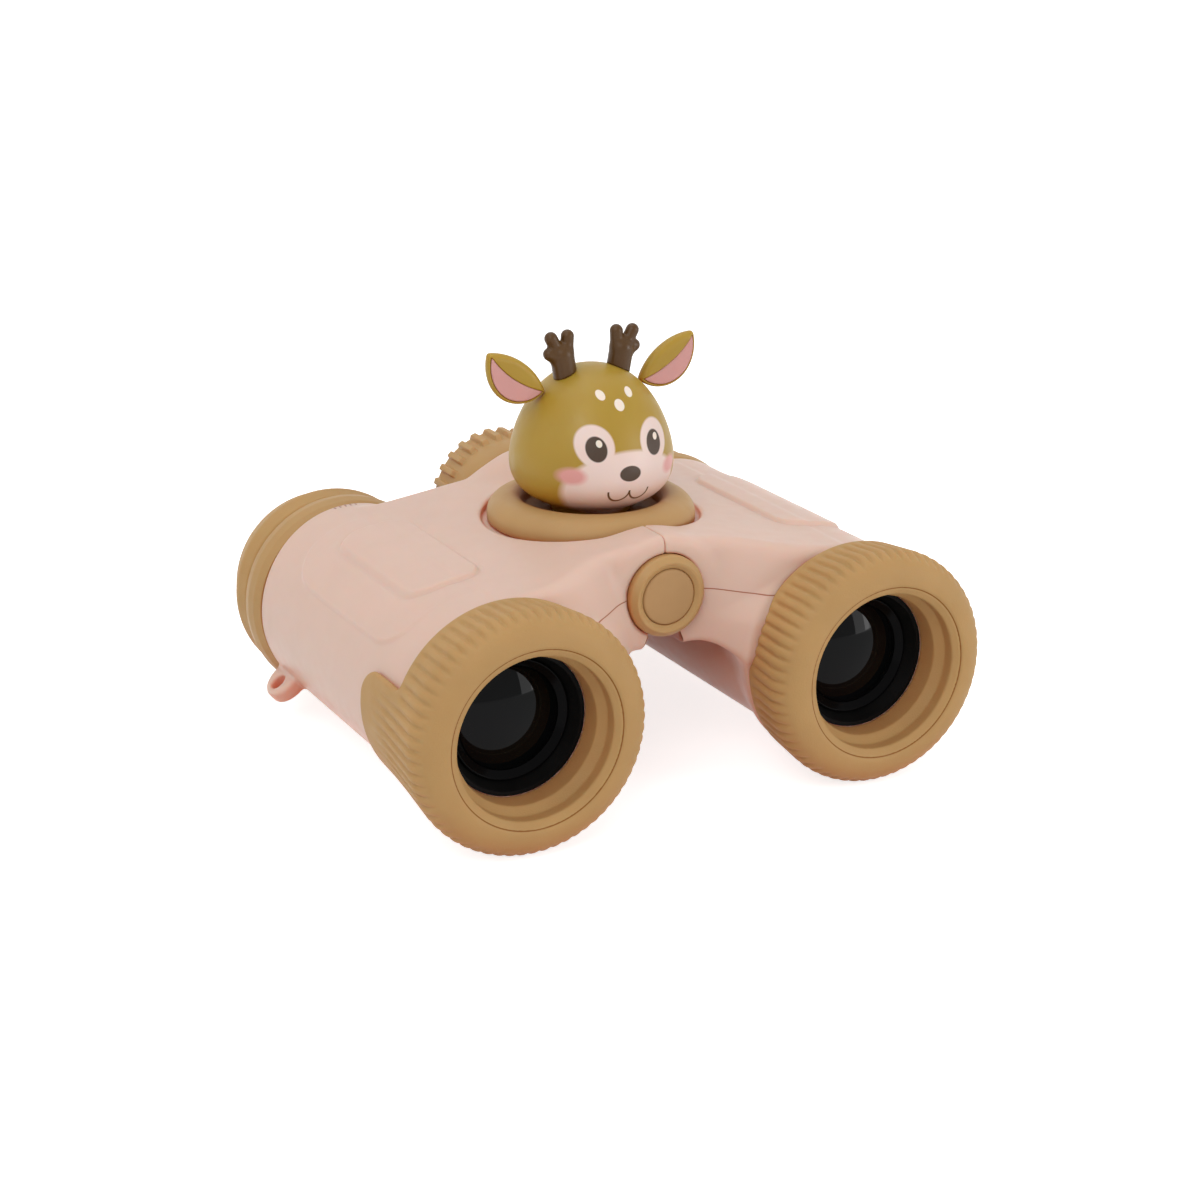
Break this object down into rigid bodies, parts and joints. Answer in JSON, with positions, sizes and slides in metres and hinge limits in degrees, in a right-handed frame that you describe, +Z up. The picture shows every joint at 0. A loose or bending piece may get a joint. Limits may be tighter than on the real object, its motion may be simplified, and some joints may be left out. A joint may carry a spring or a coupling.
{
  "type": "toy binoculars",
  "caption": "Child's folding binoculars: twin prism barrels on a centre hinge with a focus wheel, rubber objective rings and eyecups, and a fawn's head on a turning plinth.",
  "frame": {"origin": "centre of the footprint: the objective rings stand on Z = 0 and the length is centred on Y = 0", "axes": "+Z up, -Y the way the objectives look, +Y towards the eyes; the wearer's right barrel is at -X"},
  "size_m": [0.1076, 0.095, 0.0748],
  "materials": {
    "pink_shell": "satin moulded ABS, pale dusty pink",
    "tan_rubber": "matte soft rubber, tan",
    "tan_plastic": "satin moulded plastic, tan",
    "black_plastic": "matt black, anti-glare",
    "lens_glass": "polished, thin coating",
    "steel": "turned",
    "brass": "turned",
    "ochre_plastic": "satin moulded plastic, ochre, with a printed face",
    "rose_plastic": "satin moulded plastic, rose",
    "brown_plastic": "satin moulded plastic, dark brown"
  },
  "bodies": {
    "core": {"hinge_axle": "steel", "hinge_sleeve": "black_plastic", "cap_ring": "tan_plastic", "cap_disc": "tan_plastic", "turntable_post": "black_plastic", "focus_cage": "black_plastic"},
    "right_half": {"right_upper_shell": "pink_shell", "right_lower_shell": "pink_shell", "right_shell_screws": "steel", "right_objective_ring": "tan_rubber", "right_prism_holder": "black_plastic", "right_prisms": "lens_glass"},
    "right_cell": {"right_objective_cell": "black_plastic", "right_objective_lens": "lens_glass", "right_lens_retainer": "black_plastic", "right_focus_arm": "black_plastic"},
    "right_dioptre": {"right_eyepiece_tube": "black_plastic", "right_field_lens": "lens_glass", "right_eye_lens": "lens_glass", "right_dioptre_collar": "tan_plastic", "right_eyecup": "tan_rubber"},
    "left_half": {"left_upper_shell": "pink_shell", "left_lower_shell": "pink_shell", "left_shell_screws": "steel", "left_objective_ring": "tan_rubber", "left_prism_holder": "black_plastic", "left_prisms": "lens_glass", "left_eyepiece_tube": "black_plastic", "left_field_lens": "lens_glass", "left_eye_lens": "lens_glass", "left_collar": "tan_plastic", "left_eyecup": "tan_rubber"},
    "left_cell": {"left_objective_cell": "black_plastic", "left_objective_lens": "lens_glass", "left_lens_retainer": "black_plastic", "left_focus_arm": "black_plastic"},
    "focus_wheel": {"focus_screw": "steel", "focus_wheel": "tan_rubber", "wheel_cap": "tan_plastic"},
    "focus_nut": {"focus_nut": "brass"},
    "turntable": {"turntable": "tan_plastic", "turntable_clip": "steel", "head_screws": "steel", "head_base": "ochre_plastic", "head_shell": "ochre_plastic", "ears": "ochre_plastic", "ear_linings": "rose_plastic", "antlers": "brown_plastic"}
  },
  "joints": [
    {"name": "right_fold", "type": "hinge", "parent": "core", "child": "right_half", "pos_m": [0, 0, 0.0343], "axis": [0, -1, 0], "range_deg": [0, 20]},
    {"name": "left_fold", "type": "hinge", "parent": "core", "child": "left_half", "pos_m": [0, 0, 0.0343], "axis": [0, 1, 0], "range_deg": [0, 20]},
    {"name": "focus_turn", "type": "hinge", "parent": "core", "child": "focus_wheel", "pos_m": [0, 0, 0.0343], "axis": [0, 1, 0], "range_deg": [-180, 180]},
    {"name": "nut_slide", "type": "slide", "parent": "core", "child": "focus_nut", "axis": [0, 1, 0], "range_m": [-0.0015, 0.0015]},
    {"name": "right_cell_slide", "type": "slide", "parent": "right_half", "child": "right_cell", "axis": [0, 1, 0], "range_m": [-0.0015, 0.0015]},
    {"name": "left_cell_slide", "type": "slide", "parent": "left_half", "child": "left_cell", "axis": [0, 1, 0], "range_m": [-0.0015, 0.0015]},
    {"name": "dioptre_turn", "type": "hinge", "parent": "right_half", "child": "right_dioptre", "pos_m": [-0.033, 0.0325, 0.0208], "axis": [0, 1, 0], "range_deg": [-35, 35]},
    {"name": "head_turn", "type": "hinge", "parent": "core", "child": "turntable", "pos_m": [0, -0.00195, 0.0408], "axis": [0, 0, 1], "range_deg": [-60, 60]}
  ],
  "couplings": [
    {"joint": "nut_slide", "follows": "focus_turn", "m_per_rad": 0.000477},
    {"joint": "right_cell_slide", "follows": "focus_turn", "m_per_rad": 0.000477},
    {"joint": "left_cell_slide", "follows": "focus_turn", "m_per_rad": 0.000477}
  ]
}
